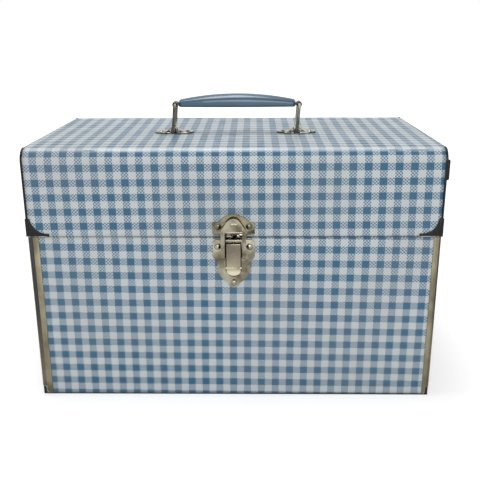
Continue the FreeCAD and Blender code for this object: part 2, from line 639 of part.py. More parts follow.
def make_hasp():
    """A sheet frame: two arms curled round the rod, joined by an arched top."""
    front = ROD_Y - HASP_FRONT
    spring = HASP_TOP - HASP_TOP_RISE
    corner = (HASP_TOP_HALF + HASP_CORNER, spring - HASP_CORNER)
    arm_top = HASP_WINDOW_TOP - HASP_ARM_TOP
    arched = face(on_xz(front), (-HASP_OUT, HASP_ROD_Z), [
        (-HASP_OUT, arm_top), (-HASP_SHOULDER_X, HASP_SHOULDER_Z),
        (-corner[0], corner[1]), (-HASP_TOP_HALF, spring),
        (0, HASP_TOP, HASP_TOP_HALF, spring), corner,
        (HASP_SHOULDER_X, HASP_SHOULDER_Z), (HASP_OUT, arm_top), (HASP_OUT, HASP_ROD_Z),
        (HASP_IN, HASP_ROD_Z), (HASP_IN, HASP_WINDOW_TOP),
        (-HASP_IN, HASP_WINDOW_TOP), (-HASP_IN, HASP_ROD_Z)])
    pieces = [arched.extrude(V(0, HASP_SHEET, 0))]
    for x0 in (-HASP_OUT, HASP_IN):
        x1 = x0 + HASP_ARM_WIDTH
        pieces.append(cyl_x(HASP_CURL, x0, x1, ROD_Y, HASP_ROD_Z))
        pieces.append(box(x0, x1, front, ROD_Y, HASP_ROD_Z, HASP_ROD_Z + HASP_CURL))
    bore = cyl_x(LATCH_PIN_RADIUS + RUN_FIT, -HASP_OUT, HASP_OUT, ROD_Y, HASP_ROD_Z)
    nodes["hasp"] = cut(fuse(*pieces), bore)


# ---- handle ----
def make_feet():
    """Two oval foot plates, each with a pressed bridge over the loop's lower bar."""
    bar_z = LID_TOP + LOOP_FOOT_Z
    inner = LOOP_BAR + RUN_FIT
    outer = inner + BRIDGE_SHEET
    for side, label in ((-1, "left"), (1, "right")):
        x = side * HANDLE_SPACING / 2
        round_r = FOOT_WIDTH / 2
        straight = FOOT_LENGTH / 2 - round_r
        y0 = HANDLE_Y - BRIDGE_WIDTH / 2
        y1 = HANDLE_Y + BRIDGE_WIDTH / 2
        top = LID_TOP + FOOT_SHEET
        pieces = [box(x - straight, x + straight, HANDLE_Y - round_r, HANDLE_Y + round_r, LID_TOP, top)]
        for end in (-1, 1):
            pieces.append(cyl_z(round_r, LID_TOP, top, x + end * straight, HANDLE_Y))
        pieces.append(cyl_y(outer, y0, y1, x, bar_z))
        pieces.append(box(x - outer, x + outer, y0, y1, LID_TOP, bar_z))
        below = box(x - MARGIN, x + MARGIN, y0, y1, LID_TOP - MARGIN, LID_TOP)
        bar = cyl_y(inner, HANDLE_Y - FOOT_WIDTH, HANDLE_Y + FOOT_WIDTH, x, bar_z)
        z = top - LEG_GROOVE
        groove = box(x - outer, x + outer, HANDLE_Y - FOOT_WIDTH, y0, z, z + MARGIN)
        groove_back = box(x - outer, x + outer, y1, HANDLE_Y + FOOT_WIDTH, z, z + MARGIN)
        foot = cut(fuse(*pieces), below, bar, groove, groove_back)
        nodes["handle_foot_" + label] = foot
    grip = FOOT_SHEET + COVER + BOARD + LINING
    spots = [(foot_side * HANDLE_SPACING / 2 + end * FOOT_RIVET_X, HANDLE_Y, LID_TOP + FOOT_SHEET)
             for foot_side in (-1, 1) for end in (-1, 1)]
    rivets = [rivet(spot, (0, 0, 1), grip, SMALL_HEAD, SMALL_DOME) for spot in spots]
    nodes["handle_rivets"] = Part.makeCompound(rivets)
    drill(("handle_foot_left", "handle_foot_right", "lid_cover", "lid_top_board", "lid_lining"), rivets)


def loop_ends(side):
    """Lower and upper bar of one loop, as (x, z)."""
    x = side * HANDLE_SPACING / 2
    return (x, LID_TOP + LOOP_FOOT_Z), (x + HANDLE_LEAN, LID_TOP + LOOP_TOP_Z)


def make_loops():
    """Each loop: two flat legs joined by a lower and an upper round bar."""
    for side, label in ((-1, "left"), (1, "right")):
        (xa, za), (xb, zb) = loop_ends(side)
        turn = math.degrees(math.atan2(zb - za, xb - xa))
        normal = math.radians(turn + 90)
        half = LOOP_LEG_X / 2
        y0 = HANDLE_Y - LOOP_LEG_GAP / 2 - LOOP_LEG_Y
        y1 = HANDLE_Y + LOOP_LEG_GAP / 2
        start = (xa + half * math.cos(normal), za + half * math.sin(normal))
        steps = [arc_step((xa, za), half, turn + 90, turn + 270),
                 (xb - half * math.cos(normal), zb - half * math.sin(normal)),
                 arc_step((xb, zb), half, turn - 90, turn + 90)]
        pieces = [face(on_xz(y), start, steps).extrude(V(0, LOOP_LEG_Y, 0)) for y in (y0, y1)]
        for x, z in ((xa, za), (xb, zb)):
            pieces.append(cyl_y(LOOP_BAR, y0, y1 + LOOP_LEG_Y, x, z))
        nodes["handle_loop_" + label] = fuse(*pieces)


def make_grip():
    """A flat steel strap with an eye round each upper bar, inside a moulded grip."""
    x0, z0 = loop_ends(-1)[1]
    x1 = loop_ends(1)[1][0]
    inner = LOOP_BAR + RUN_FIT
    outer = inner + CORE_SHEET
    y0 = HANDLE_Y - CORE_WIDTH / 2
    y1 = HANDLE_Y + CORE_WIDTH / 2
    flat = box(x0, x1, y0, y1, z0 - CORE_SHEET / 2, z0 + CORE_SHEET / 2)
    curls = [cyl_y(outer, y0, y1, x, z0) for x in (x0, x1)]
    bores = [cyl_y(inner, y0, y1, x, z0) for x in (x0, x1)]
    core = cut(fuse(flat, *curls), *bores)
    nodes["handle_core"] = core

    middle = (x0 + x1) / 2
    left = x0 + GRIP_END_GAP
    right = x1 - GRIP_END_GAP
    side_view = face(on_xz(HANDLE_Y - GRIP_MID_WIDTH), (left, z0 - GRIP_BOTTOM), [
        (left, z0 + GRIP_END_TOP),
        (middle, z0 + GRIP_MID_TOP, right, z0 + GRIP_END_TOP),
        (right, z0 - GRIP_BOTTOM)]).extrude(V(0, 2 * GRIP_MID_WIDTH, 0))
    end = GRIP_END_WIDTH / 2
    wide = GRIP_MID_WIDTH / 2
    plan = face(on_xy(z0 - MARGIN), (left, HANDLE_Y - end), [
        (middle, HANDLE_Y - wide, right, HANDLE_Y - end), (right, HANDLE_Y + end),
        (middle, HANDLE_Y + wide, left, HANDLE_Y + end)])
    solid = side_view.common(plan.extrude(V(0, 0, 2 * MARGIN)))
    crown = [e for e in solid.Edges
             if e.BoundBox.XLength > BOX_WIDTH / 6 and e.CenterOfMass.z > z0]
    solid = solid.makeFillet(GRIP_END_TOP, crown)
    nodes["handle_grip"] = cut(solid, flat)


# ---- trays and the arms that carry them ----
def tray(y0, y1, z0):
    """An open moulded tray with rounded corners."""
    z1 = z0 + TRAY_HEIGHT
    outside = box(-TRAY_X, TRAY_X, y0, y1, z0, z1)
    uprights = [e for e in outside.Edges if abs(e.BoundBox.ZLength - TRAY_HEIGHT) < 0.01]
    outside = outside.makeFillet(TRAY_CORNER, uprights)
    inside = box(-TRAY_X + TRAY_WALL, TRAY_X - TRAY_WALL, y0 + TRAY_WALL, y1 - TRAY_WALL,
                 z0 + TRAY_WALL, z1 + 1)
    uprights = [e for e in inside.Edges if e.BoundBox.ZLength > TRAY_HEIGHT - TRAY_WALL]
    inside = inside.makeFillet(TRAY_CORNER - TRAY_WALL, uprights)
    return outside.cut(inside)


def dividers(y0, y1, z0, count):
    """Loose cross walls that share the tray's length evenly."""
    room = 2 * (TRAY_X - TRAY_WALL)
    step = room / (count + 1)
    walls = []
    for number in range(1, count + 1):
        x = -TRAY_X + TRAY_WALL + number * step
        walls.append(box(x - DIVIDER / 2, x + DIVIDER / 2,
                         y0 + TRAY_WALL + DIVIDER_FIT, y1 - TRAY_WALL - DIVIDER_FIT,
                         z0 + TRAY_WALL, z0 + TRAY_HEIGHT - DIVIDER_DROP))
    return Part.makeCompound(walls)


def arm_point(pivot_y, along, offset=0.0):
    """A point on an arm at rest: this far along it, and this far to its front side."""
    y = pivot_y + along * math.cos(ARM_REST) - offset * math.sin(ARM_REST)
    z = PIVOT_Z + along * math.sin(ARM_REST) + offset * math.cos(ARM_REST)
    return (y, z)


def tray_pins(reach):
    """Headed pins on the tray's ends, through both arms on each side."""
    pins = []
    for pivot_y in (FRONT_PIVOT_Y, REAR_PIVOT_Y):
        y, z = arm_point(pivot_y, reach)
        wall = TRAY_X - TRAY_WALL
        pin = fuse(cyl_x(PIN_HEAD, wall - PIN_HEAD_SHEET, wall, y, z),
                   cyl_x(PIN_SHANK, wall, TRAY_X, y, z),
                   cyl_x(PIN_HEAD, TRAY_X, ARM_X0 - SIDE_FIT, y, z),
                   cyl_x(PIN_RADIUS, ARM_X0 - SIDE_FIT, ARM_X1 + SIDE_FIT, y, z),
                   cyl_x(PIN_HEAD, ARM_X1 + SIDE_FIT, ARM_X1 + SIDE_FIT + PIN_HEAD_SHEET, y, z))
        pins += [pin, mirror_x(pin)]
    return pins


def make_trays():
    lower = (-IN_Y + LOWER_FRONT_GAP, HINGE_Y - LOWER_REAR_GAP, LOWER_Z)
    upper = (-IN_Y + UPPER_FRONT_GAP, HINGE_Y - UPPER_REAR_GAP, UPPER_Z)
    for label, place, reach, count in (("lower", lower, LOWER_PIN_REACH, LOWER_DIVIDERS),
                                       ("upper", upper, UPPER_PIN_REACH, UPPER_DIVIDERS)):
        pins = tray_pins(reach)
        nodes[label + "_tray"] = cut(tray(*place), *pins)
        nodes[label + "_tray_pins"] = Part.makeCompound(pins)
        nodes[label + "_tray_dividers"] = dividers(*place, count)


def arm(pivot_y, with_lug):
    """A flat steel strip with a hole at its pivot and at each tray pin."""
    top = arm_point(pivot_y, UPPER_PIN_REACH)
    bar = strip(ARM_X0, ARM_X1, ((pivot_y, PIVOT_Z), top), ARM_HALF_WIDTH)
    holes = [arm_point(pivot_y, reach) for reach in (0, LOWER_PIN_REACH, UPPER_PIN_REACH)]
    if with_lug:
        lug = arm_point(pivot_y, LINK_ALONG, LINK_OFFSET)
        bar = fuse(bar, cyl_x(LINK_LUG, ARM_X0, ARM_X1, *lug))
        bar = cut(bar, cyl_x(PIN_SHANK, ARM_X0, ARM_X1, *lug))
    tools = [cyl_x(PIN_RADIUS + RUN_FIT, ARM_X0, ARM_X1, y, z) for y, z in holes]
    return cut(bar, *tools)


def make_arms():
    pair("front_arms", arm(FRONT_PIVOT_Y, False))
    pair("rear_arms", arm(REAR_PIVOT_Y, True))
    studs = []
    for y in (FRONT_PIVOT_Y, REAR_PIVOT_Y):
        stud = fuse(cyl_x(PIN_HEAD, ARM_X1 + SIDE_FIT, IN_X, y, PIVOT_Z),
                    cyl_x(PIN_RADIUS, ARM_X0 - SIDE_FIT, ARM_X1 + SIDE_FIT, y, PIVOT_Z),
                    cyl_x(PIN_HEAD, ARM_X0 - SIDE_FIT - PIN_HEAD_SHEET, ARM_X0 - SIDE_FIT, y, PIVOT_Z))
        studs += [stud, mirror_x(stud)]
    nodes["arm_studs"] = Part.makeCompound(studs)


def turned(point, centre, degrees):
    """A point of the YZ plane turned about a centre, the way the lid opens."""
    angle = math.radians(-degrees)
    y = point[0] - centre[0]
    z = point[1] - centre[1]
    return (centre[0] + y * math.cos(angle) - z * math.sin(angle),
            centre[1] + y * math.sin(angle) + z * math.cos(angle))


def lid_pin_track():
    """The lid's pin seen from the link, which stays level with itself as the lid opens."""
    joint = arm_point(REAR_PIVOT_Y, LINK_ALONG, LINK_OFFSET)
    track = []
    for step in range(TRACK_STEPS + 1):
        opened = LID_OPEN_DEG * step / TRACK_STEPS
        pin = turned(LID_PIN, (HINGE_Y, SPLIT_Z), opened)
        now = turned(joint, (REAR_PIVOT_Y, PIVOT_Z), opened * ARM_PER_LID)
        track.append((pin[0] - now[0] + joint[0], pin[1] - now[1] + joint[1]))
    return track


def make_links():
    """Drive links: the lid's pin pulls the rear arm through an oversize eye."""
    joint = arm_point(REAR_PIVOT_Y, LINK_ALONG, LINK_OFFSET)
    track = lid_pin_track()
    eye = tuple((max(p[i] for p in track) + min(p[i] for p in track)) / 2 for i in (0, 1))
    wander = max(math.hypot(p[0] - eye[0], p[1] - eye[1]) for p in track)
    eye_radius = PIN_SHANK + wander + LINK_SLACK
    bar = strip(LINK_X0, LINK_X1, (joint, eye), LINK_HALF_WIDTH)
    ring = cyl_x(eye_radius + EYE_WALL, LINK_X0, LINK_X1, *eye)
    link = cut(fuse(bar, ring), cyl_x(eye_radius, LINK_X0, LINK_X1, *eye),
               cyl_x(PIN_SHANK + RUN_FIT, LINK_X0, LINK_X1, *joint))
    pair("drive_links", link)
    head_x = LINK_X0 - SIDE_FIT
    lid_pin = fuse(cyl_x(PIN_SHANK, head_x, IN_X, *LID_PIN),
                   cyl_x(eye_radius + EYE_LAP, head_x - THIN_HEAD, head_x, *LID_PIN))
    nodes["lid_link_pins"] = Part.makeCompound([lid_pin, mirror_x(lid_pin)])
    end_x = LINK_X1 + SIDE_FIT
    arm_pin = fuse(cyl_x(PIN_HEAD, ARM_X0 - THIN_HEAD, ARM_X0, *joint),
                   cyl_x(PIN_SHANK, ARM_X0, end_x, *joint),
                   cyl_x(PIN_HEAD, end_x, end_x + THIN_HEAD, *joint))
    nodes["arm_link_pins"] = Part.makeCompound([arm_pin, mirror_x(arm_pin)])


def main():
    make_body()
    make_edging()
    make_lid()
    make_lid_edging()
    make_guards()
    make_side_plate()
    make_hinges()
    make_strike()
    make_latch_base()
    make_lever()
    make_hasp()
    make_feet()
    make_loops()
    make_grip()
    make_trays()
    make_arms()
    make_links()
    os.makedirs("parts", exist_ok=True)
    for name, shape in nodes.items():
        solids = shape.Solids
        if not solids or not all(s.isValid() for s in solids):
            raise SystemExit("bad shape: " + name)
        shape.exportStep("parts/%s.step" % name)
    print(len(nodes), "nodes written")


main()
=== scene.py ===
import json
import math
from collections import namedtuple

import bmesh
import bpy
from mathutils import Matrix, Vector, noise

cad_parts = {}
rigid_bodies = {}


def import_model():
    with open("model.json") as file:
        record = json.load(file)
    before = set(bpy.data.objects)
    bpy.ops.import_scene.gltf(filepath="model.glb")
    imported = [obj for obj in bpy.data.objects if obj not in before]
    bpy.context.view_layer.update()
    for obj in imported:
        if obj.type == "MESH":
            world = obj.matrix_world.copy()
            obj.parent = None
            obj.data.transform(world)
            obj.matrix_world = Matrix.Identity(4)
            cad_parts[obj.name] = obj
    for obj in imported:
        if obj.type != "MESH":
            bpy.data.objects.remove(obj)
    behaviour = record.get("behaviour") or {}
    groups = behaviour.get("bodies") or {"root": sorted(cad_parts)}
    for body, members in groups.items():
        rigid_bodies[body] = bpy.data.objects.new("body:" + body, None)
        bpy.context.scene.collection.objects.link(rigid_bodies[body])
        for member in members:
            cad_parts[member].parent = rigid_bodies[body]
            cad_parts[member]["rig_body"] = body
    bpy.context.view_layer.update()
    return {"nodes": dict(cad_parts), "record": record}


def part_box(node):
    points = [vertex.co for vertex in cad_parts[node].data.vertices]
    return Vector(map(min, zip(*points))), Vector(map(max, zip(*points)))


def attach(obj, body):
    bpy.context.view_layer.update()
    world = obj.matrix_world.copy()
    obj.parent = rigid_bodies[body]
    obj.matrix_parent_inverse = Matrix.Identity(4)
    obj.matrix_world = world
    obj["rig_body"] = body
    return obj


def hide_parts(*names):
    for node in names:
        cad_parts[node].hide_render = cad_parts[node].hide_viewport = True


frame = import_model()

# Sizes below are in millimetres, in the CAD frame: +Z up, the front faces -Y.
MM = 0.001


def corners(node):
    """A CAD node's lowest and highest corners, in millimetres."""
    low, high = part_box(node)
    return low / MM, high / MM


LID_LOW, LID_HIGH = corners("lid_cover")
FRONT_Y, LID_RIM = LID_LOW.y, LID_LOW.z
BACK_Y, LID_TOP = LID_HIGH.y, LID_HIGH.z
FRONT_ROUND = 9.0           # outer radius of the lid's front top edge
BACK_ROUND = 6.0            # outer radius of its back top edge
EDGE_WIDTH = 1.6            # black edging at each end of the lid
SHEET = 0.6                 # gingham vinyl

# The gingham's repeat is one white and one blue stripe. Each sheet is stretched a little differently.
LID_ACROSS = 10.723
LID_UP_FRONT = 10.609
LID_OVER_TOP = 10.7
BODY_ACROSS = 10.746
BODY_UP = 10.816
THREADS = 9.0               # weave cells in a repeat

LATCH_SHEET = 1.0
LATCH_PLATE_Y = corners("body_front_cover")[0].y - LATCH_SHEET      # front of the latch's flat plates
BASE_TOP = corners("latch_base")[1].z
LEVER_LOW, LEVER_HIGH = corners("latch_lever")
LEVER_PIVOT_OUT = 3.4       # lever's axis in front of the base plate
LEVER_FRONT = 2.5           # lever's front face in front of its axis
LEVER_PLATE_Y = LATCH_PLATE_Y - LEVER_PIVOT_OUT - LEVER_FRONT
LEVER_CREASE_Z = LEVER_LOW.z + 6.2
LEVER_ROUND_Z = LEVER_LOW.z + 4.0       # the lever's tip is round below this

# Stretches of x painted black as shade, beside the beads of the body's edging.
GROOVE_SHADE_BANDS = ((-151.0, -149.5), (-148.9, -146.0), (148.3, 149.4))


# ---- materials ----
class Shader:
    """A material with one Principled shader, and short calls for the nodes used here."""

    def __init__(self, name, **values):
        self.material = bpy.data.materials.new(name)
        self.material.use_nodes = True
        self.tree = self.material.node_tree
        self.bsdf = self.tree.nodes["Principled BSDF"]
        for socket, value in values.items():
            self.bsdf.inputs[socket.replace("_", " ")].default_value = value

    def feed(self, target, value):
        if isinstance(value, bpy.types.NodeSocket):
            self.tree.links.new(value, target)
        else:
            target.default_value = value

    def place(self, kind="Object"):
        return self.tree.nodes.new("ShaderNodeTexCoord").outputs[kind]

    def split(self, vector):
        node = self.tree.nodes.new("ShaderNodeSeparateXYZ")
        self.feed(node.inputs[0], vector)
        return node.outputs

    def math(self, operation, first, second=0.0, third=0.0):
        node = self.tree.nodes.new("ShaderNodeMath")
        node.operation = operation
        for socket, value in zip(node.inputs, (first, second, third)):
            self.feed(socket, value)
        return node.outputs[0]

    def step(self, value, low, high, start=0.0, end=1.0):
        """Goes smoothly from start to end as value goes from low to high."""
        node = self.tree.nodes.new("ShaderNodeMapRange")
        node.interpolation_type = "SMOOTHSTEP"
        for socket, number in zip(node.inputs, (value, low, high, start, end)):
            self.feed(socket, number)
        return node.outputs[0]

    def stretched(self, factors):
        """Object coordinates multiplied by these factors."""
        node = self.tree.nodes.new("ShaderNodeMapping")
        self.feed(node.inputs["Vector"], self.place())
        node.inputs["Scale"].default_value = factors
        return node.outputs[0]

    def noise(self, scale, detail=3.0, vector=None):
        node = self.tree.nodes.new("ShaderNodeTexNoise")
        self.feed(node.inputs["Vector"], vector or self.place())
        node.inputs["Scale"].default_value = scale
        node.inputs["Detail"].default_value = detail
        return node.outputs[0]

    def mix(self, factor, first, second):
        node = self.tree.nodes.new("ShaderNodeMix")
        node.data_type = "RGBA"
        self.feed(node.inputs[0], factor)
        self.feed(node.inputs[6], first)
        self.feed(node.inputs[7], second)
        return node.outputs[2]

    def crevice(self, reach):
        """1 where another surface is close, 0 in the open; reach in millimetres."""
        node = self.tree.nodes.new("ShaderNodeAmbientOcclusion")
        node.samples = 8
        node.inputs["Distance"].default_value = reach * MM
        return self.step(node.outputs["AO"], 0.35, 0.85, 1.0, 0.0)

    def colour(self, value):
        self.feed(self.bsdf.inputs["Base Color"], value)

    def roughness(self, value):
        self.feed(self.bsdf.inputs["Roughness"], value)

    def bump(self, height, depth, strength=1.0, under=None):
        """depth is how far the surface seems to rise, in millimetres."""
        node = self.tree.nodes.new("ShaderNodeBump")
        node.inputs["Strength"].default_value = strength
        node.inputs["Distance"].default_value = depth * MM
        self.feed(node.inputs["Height"], height)
        if under is not None:
            self.feed(node.inputs["Normal"], under)
        self.feed(self.bsdf.inputs["Normal"], node.outputs[0])
        return node.outputs[0]


def rgba(red, green, blue):
    """A linear colour from the 0 to 255 values seen on a screen."""
    def linear(value):
        share = value / 255
        return share / 12.92 if share <= 0.04045 else ((share + 0.055) / 1.055) ** 2.4
    return linear(red), linear(green), linear(blue), 1.0


def woven_check(shader, across, along):
    """Colour of the weave: white squares, blue squares, and speckled ones where one stripe is blue."""
    edge = 0.012            # softness of a stripe's edge, as a share of a repeat
    stripes = [shader.step(shader.math("PINGPONG", value, 0.5), 0.25 - edge, 0.25 + edge)
               for value in (across, along)]
    cells = [shader.math("FLOOR", shader.math("MULTIPLY", value, THREADS)) for value in (across, along)]
    parity = shader.math("FLOORED_MODULO", shader.math("ADD", *cells), 2.0)
    both = shader.math("MULTIPLY", *stripes)
    either = shader.math("MAXIMUM", *stripes)
    speckle = shader.step(parity, 0.0, 1.0, 0.22, 0.92)
    single = shader.math("SUBTRACT", either, both)
    blueness = shader.math("ADD", both, shader.math("MULTIPLY", single, speckle))
    white = shader.mix(parity, rgba(197, 202, 202), rgba(178, 186, 190))
    blue = shader.mix(parity, rgba(52, 92, 121), rgba(68, 108, 135))
    return shader.mix(blueness, white, blue)


def painted_bend_light(shader, cloth):
    """Over the lid's front bend: a painted highlight in pale patches, with a broken line of painted crease
    shade towards both ends.
    """
    x, y, z = shader.split(shader.place())
    over = shader.step(z, (LID_TOP - 2.8) * MM, (LID_TOP - 1.1) * MM)
    fore = shader.step(y, (FRONT_Y + 5.5) * MM, (FRONT_Y + 10.0) * MM, 1.0, 0.0)
    bend = shader.math("MULTIPLY", over, fore)
    # Pale patches over the bend are a painted highlight.
    bend_highlight = shader.step(shader.noise(60.0, 4.0, shader.stretched((0.5, 1.0, 1.0))), 0.3, 0.7, 0.15, 0.55)
    cloth = shader.mix(shader.math("MULTIPLY", bend, bend_highlight), cloth, rgba(232, 238, 240))
    # The broken dark line along the bend is painted shade of creases.
    off = shader.math("ABSOLUTE", shader.math("SUBTRACT", z, (LID_TOP - 1.5) * MM))
    line = shader.math("MULTIPLY", bend, shader.step(off, 0.15 * MM, 0.6 * MM, 1.0, 0.0))
    broken = shader.step(shader.noise(75.0, 2.0, shader.stretched((1.0, 0.01, 0.3))), 0.5, 0.58)
    outer = shader.step(shader.math("ABSOLUTE", x), 60.0 * MM, 100.0 * MM)
    crease = shader.math("MULTIPLY", line, shader.math("MULTIPLY", broken, outer))
    return shader.mix(shader.math("MULTIPLY", crease, 0.7), cloth, rgba(84, 98, 108))


def painted_foot_shade(shader, cloth):
    """Painted shade at the body's lowest corners and along its hem."""
    x, _, z = shader.split(shader.place())
    corner = shader.math("MULTIPLY", shader.step(shader.math("ABSOLUTE", x), 146.7 * MM, 147.2 * MM),
                         shader.step(z, 6.2 * MM, 7.0 * MM, 1.0, 0.0))
    hem = shader.step(z, 0.6 * MM, 2.2 * MM, 0.45, 0.0)
    return shader.mix(shader.math("MAXIMUM", corner, hem), cloth, rgba(34, 34, 33))


def gingham():
    """Woven check printed on vinyl. A UV unit is one repeat, and whole numbers are white stripes' middles."""
    shader = Shader("gingham_vinyl", Specular_IOR_Level=0.14)
    across, along = shader.split(shader.place("UV"))[:2]
    cloth = woven_check(shader, across, along)
    age = shader.step(shader.noise(14.0, 4.0), 0.35, 0.75, 0.0, 0.16)
    cloth = shader.mix(age, cloth, rgba(150, 150, 144))
    shader.colour(painted_foot_shade(shader, painted_bend_light(shader, cloth)))
    shader.roughness(shader.step(shader.noise(55.0, 3.0), 0.3, 0.7, 0.28, 0.42))
    waves = [shader.math("SINE", shader.math("MULTIPLY", value, math.pi * THREADS))
             for value in (across, along)]
    woven = shader.bump(shader.math("MULTIPLY", *waves), 0.03, 0.6)
    shader.bump(shader.noise(190.0, 2.0), 0.12, 0.5, woven)
    return shader.material


def grained_black(name, base, rough, grain, depth):
    """Black leathercloth or enamel with a fine grain and dull, dusty patches."""
    shader = Shader(name, Specular_IOR_Level=0.2)
    dust = shader.step(shader.noise(38.0, 5.0), 0.45, 0.8, 0.0, 0.3)
    shader.colour(shader.mix(dust, base, rgba(48, 47, 45)))
    shader.roughness(shader.step(shader.noise(90.0), 0.3, 0.7, rough - 0.06, rough + 0.1))
    cells = shader.tree.nodes.new("ShaderNodeTexVoronoi")
    shader.feed(cells.inputs["Vector"], shader.place())
    cells.inputs["Scale"].default_value = grain
    shader.bump(cells.outputs["Distance"], depth, 0.55)
    return shader


def guard_black():
    """Black enamel, worn to bare metal along the guards' lower edge."""
    shader = grained_black("black_metal", rgba(16, 16, 15), 0.3, 1400.0, 0.02)
    height = shader.split(shader.place())[2]
    lip = shader.step(height, (LID_RIM + 0.25) * MM, (LID_RIM + 0.75) * MM, 1.0, 0.0)
    scratched = shader.step(shader.noise(420.0, 4.0), 0.36, 0.6)
    worn = shader.math("MULTIPLY", lip, scratched)
    enamel = shader.bsdf.inputs["Base Color"].links[0].from_socket
    shader.colour(shader.mix(worn, enamel, rgba(176, 172, 158)))
    shader.feed(shader.bsdf.inputs["Metallic"], worn)
    return shader.material


def metal(name, bright, tarnished, rough, streak=(1.0, 1.0, 1.0), spread=0.1, patches=60.0, dents=0.06):
    """Old plating: tarnish in patches, painted shade in the gaps and near other surfaces, fine scratches,
    uneven polish.

    shader.tone keeps its colour, for a metal that adds marks of its own."""
    shader = Shader(name, Metallic=1.0)
    tarnish = shader.step(shader.noise(patches, 5.0), 0.38, 0.68)
    fine = shader.noise(900.0, 3.0, shader.stretched(streak))
    # Ambient occlusion paints shade: near-black in the gaps, and the tarnished tone within 4.5 mm of other
    # surfaces.
    crevice_shade = shader.crevice(1.8)
    near_shade = shader.crevice(4.5)
    tone = shader.mix(shader.math("MAXIMUM", tarnish, near_shade), bright, tarnished)
    shader.tone = shader.mix(shader.math("MULTIPLY", crevice_shade, 0.92), tone, rgba(30, 27, 22))
    shader.colour(shader.tone)
    polish = shader.step(fine, 0.3, 0.7, rough, rough + spread)
    shader.roughness(shader.math("ADD", polish, shader.math("MULTIPLY", crevice_shade, 0.25)))
    scratches = shader.bump(fine, 0.01, 0.5)
    shader.bump(shader.noise(240.0, 2.0), dents, 0.35, scratches)
    return shader


def lever_nickel():
    """Darker brown towards the lever's upper end, with a painted highlight at its tip, painted shade along
    its outline and a painted highlight along its crease.
    """
    shader = metal("lever_nickel", rgba(146, 139, 121), rgba(126, 118, 101), 0.2, dents=0.015)
    x, _, z = shader.split(shader.place())
    # Darker towards the upper end.
    worn = shader.step(z, (LEVER_HIGH.z - 22.0) * MM, (LEVER_HIGH.z - 2.0) * MM)
    tone = shader.mix(shader.math("MULTIPLY", worn, 0.8), shader.tone, rgba(84, 78, 70))
    # Painted highlight at the lever's tip.
    tip = shader.step(z, (LEVER_CREASE_Z - 3.5) * MM, (LEVER_CREASE_Z - 0.5) * MM, 0.45, 0.0)
    tone = shader.mix(tip, tone, rgba(206, 200, 176))
    # Painted shade along the lever's sides and round its tip.
    beside = shader.math("DIVIDE", x, LEVER_HIGH.x * MM)
    below = shader.math("DIVIDE", shader.math("SUBTRACT", LEVER_ROUND_Z * MM, z), 3.7 * MM)
    below = shader.math("MAXIMUM", below, 0.0)
    squares = [shader.math("MULTIPLY", share, share) for share in (beside, below)]
    outline = shader.step(shader.math("ADD", *squares), 0.74, 0.86)
    tone = shader.mix(outline, tone, rgba(20, 18, 16))
    # Painted highlight along the lever's crease.
    off = shader.math("ABSOLUTE", shader.math("SUBTRACT", z, LEVER_CREASE_Z * MM))
    crease = shader.step(off, 0.25 * MM, 0.5 * MM, 0.85, 0.0)
    shader.colour(shader.mix(crease, tone, rgba(226, 222, 206)))
    return shader.material


def hook_nickel():
    """Bright metal, blackened in patches as a painted dark reflection and shade in the hasp's window, that
    glints along its dents.
    """
    shader = Shader("hook_nickel", Metallic=1.0, Roughness=0.07)
    # The black patches are painted shade and dark reflection in the window's recess.
    recess_shade = shader.step(shader.noise(520.0, 2.0), 0.4, 0.5)
    shader.colour(shader.mix(recess_shade, rgba(150, 146, 136), rgba(12, 11, 10)))
    shader.bump(shader.noise(420.0, 2.0), 0.8, 0.8)
    return shader.material


def edging():
    """Dull, brushed edging with painted black shade in the groove beside the bead."""
    shader = metal("edging_metal", rgba(136, 129, 108), rgba(98, 91, 73), 0.36,
                   (1.0, 1.0, 0.08), 0.18, 36.0)
    x, _, z = shader.split(shader.place())
    # The black bands are painted shade, mottled a little by noise and fainter towards the bottom.
    shade_mottle = shader.noise(300.0, 4.0)
    soft = 0.15             # half the width of a band's blurred edge
    bands = []
    for start, end in GROOVE_SHADE_BANDS:
        after = shader.step(x, (start - soft) * MM, (start + soft) * MM)
        before = shader.step(x, (end - soft) * MM, (end + soft) * MM, 1.0, 0.0)
        bands.append(shader.math("MULTIPLY", after, before))
    groove_shade = shader.math("MAXIMUM", shader.math("MAXIMUM", *bands[:2]), bands[2])
    groove_shade = shader.math("MULTIPLY", groove_shade, shader.step(shade_mottle, 0.2, 0.45, 0.9, 1.0))
    groove_shade = shader.math("MULTIPLY", groove_shade, shader.step(z, 0.02, 0.08, 0.35, 1.0))
    shader.colour(shader.mix(groove_shade, shader.tone, rgba(8, 8, 7)))
    shader.feed(shader.bsdf.inputs["Metallic"], shader.math("SUBTRACT", 1.0, groove_shade))
    return shader.material


def wood():
    """Planed softwood with its grain along X."""
    shader = Shader("board_wood", Roughness=0.62)
    grain = shader.noise(42.0, 6.0, shader.stretched((0.5, 6.0, 6.0)))
    pores = shader.noise(260.0, 3.0, shader.stretched((0.35, 7.0, 7.0)))
    tone = shader.mix(shader.step(grain, 0.35, 0.68), rgba(212, 182, 138), rgba(165, 127, 84))
    shader.colour(shader.mix(shader.step(pores, 0.55, 0.75, 0.0, 0.4), tone, rgba(120, 86, 54)))
    shader.bump(pores, 0.12, 0.5)
    return shader.material


